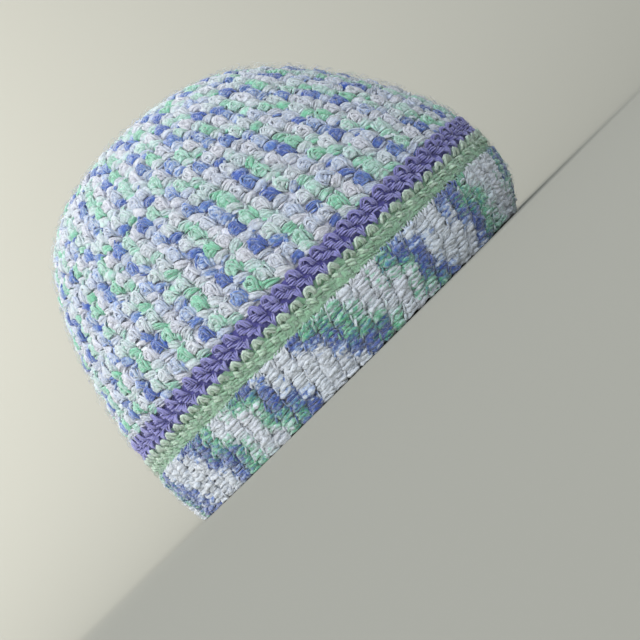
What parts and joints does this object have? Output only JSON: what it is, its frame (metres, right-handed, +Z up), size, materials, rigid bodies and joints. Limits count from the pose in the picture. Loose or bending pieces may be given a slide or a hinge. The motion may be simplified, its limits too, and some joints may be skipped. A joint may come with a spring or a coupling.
{
  "type": "crocheted beanie",
  "caption": "Close-fitting crocheted beanie: domed crown of knobbly stitches over a lavender band, a scalloped mint band and a ribbed brim, open below for the head.",
  "frame": {"origin": "on the surface that the hem rests on, under the middle of the hat's length and width", "axes": "+X to the front, +Y to the wearer's left, +Z up from the hem to the crown"},
  "size_m": [0.1984, 0.1626, 0.1387],
  "materials": {
    "variegated_yarn": "plied worsted yarn dyed in short stretches of white, blue and mint, soft and slightly fuzzy",
    "lavender_yarn": "plied worsted yarn, plain lavender, soft with a slight sheen",
    "mint_yarn": "plied worsted yarn, plain pale mint green, soft and fuzzy"
  },
  "bodies": {
    "root": {"crown": "variegated_yarn", "lavender_band": "lavender_yarn", "mint_band": "mint_yarn", "brim": "variegated_yarn"}
  },
  "joints": []
}
